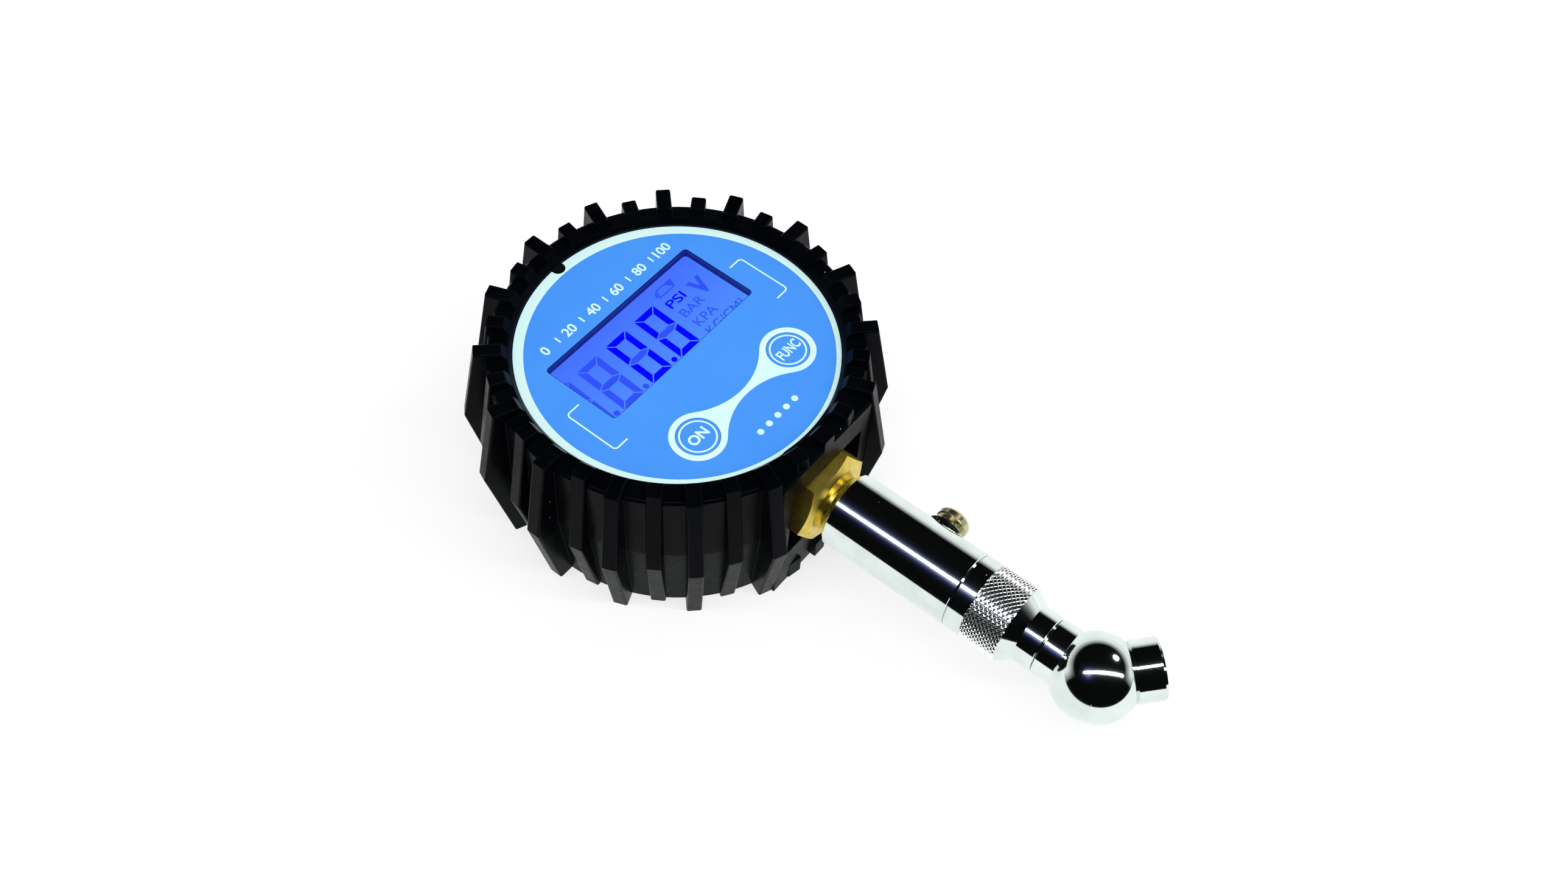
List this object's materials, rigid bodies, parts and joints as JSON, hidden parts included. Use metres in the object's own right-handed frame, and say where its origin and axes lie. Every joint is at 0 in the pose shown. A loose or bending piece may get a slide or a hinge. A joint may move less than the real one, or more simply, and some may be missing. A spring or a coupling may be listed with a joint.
{
  "type": "digital tyre pressure gauge",
  "caption": "Handheld digital tyre pressure gauge in a ribbed rubber boot, with a brass fitting, a deflator button and a swivelling ball chuck for tyre valves.",
  "frame": {"origin": "centre of the case's flat back, at the battery door's outer face; the boot reaches 2 mm below it", "axes": "+Z out of the display's face, -Y along the stem towards the chuck, +X to the right when reading the display with the stem at the bottom"},
  "size_m": [0.076, 0.1378, 0.0349],
  "materials": {
    "boot_rubber": "matte, fine grained",
    "case_plastic": "satin",
    "door_plastic": "fine texture",
    "screw_steel": "zinc plated",
    "face_film": "printed film, satin",
    "clear_lens": "clear, polished",
    "key_plastic": "satin",
    "switch_plastic": "plain",
    "display_glass": "backlit display",
    "light_guide": "frosted",
    "frame_plastic": "plain",
    "contact_rubber": "plain",
    "board_laminate": "solder mask",
    "chip_plastic": "moulded",
    "cell_jacket": "plain jacket",
    "contact_steel": "nickel plated",
    "bare_brass": "turned, bare",
    "sensor_steel": "turned",
    "plated_brass": "bright chrome plating",
    "button_nickel": "nickel plating",
    "seal_rubber": "plain"
  },
  "bodies": {
    "housing": {"rubber_boot": "boot_rubber", "front_case": "case_plastic", "rear_case": "case_plastic", "battery_door": "door_plastic", "door_screw": "screw_steel", "case_screws": "screw_steel", "face_label": "face_film", "display_lens": "clear_lens", "on_switch": "switch_plastic", "func_switch": "switch_plastic", "lcd_panel": "display_glass", "backlight_panel": "light_guide", "lcd_frame": "frame_plastic", "elastomer_strip": "contact_rubber", "circuit_board": "board_laminate", "controller_chip": "chip_plastic", "cell_left": "cell_jacket", "cell_right": "cell_jacket", "contact_plates": "contact_steel", "contact_springs": "contact_steel", "stem_fitting": "bare_brass", "sensor_seal": "seal_rubber", "pressure_sensor": "sensor_steel", "stem_tube": "plated_brass", "knurled_collar": "plated_brass", "bleed_bush": "bare_brass", "bleed_spring": "contact_steel"},
    "on_key": {"on_key": "key_plastic", "on_actuator": "switch_plastic"},
    "func_key": {"func_key": "key_plastic", "func_actuator": "switch_plastic"},
    "bleed_button": {"bleed_button": "button_nickel", "bleed_poppet": "seal_rubber"},
    "chuck": {"ball_chuck": "plated_brass", "swivel_seal": "seal_rubber", "swivel_clip": "contact_steel", "nozzle": "plated_brass", "valve_depressor": "bare_brass", "nozzle_seal": "seal_rubber"}
  },
  "joints": [
    {"name": "on_press", "type": "slide", "parent": "housing", "child": "on_key", "axis": [0, 0, -1], "range_m": [0, 0.00035], "stiffness_N_per_m": 3000, "springref_m": -0.0001},
    {"name": "func_press", "type": "slide", "parent": "housing", "child": "func_key", "axis": [0, 0, -1], "range_m": [0, 0.00035], "stiffness_N_per_m": 3000, "springref_m": -0.0001},
    {"name": "bleed_press", "type": "slide", "parent": "housing", "child": "bleed_button", "axis": [-1, 0, 0], "range_m": [0, 0.0011], "stiffness_N_per_m": 3000, "springref_m": -0.0005, "deforming": ["bleed_spring"]},
    {"name": "chuck_swivel", "type": "hinge", "parent": "housing", "child": "chuck", "pos_m": [0, -0.0886, 0.0166], "axis": [0, -1, 0], "continuous": true}
  ]
}
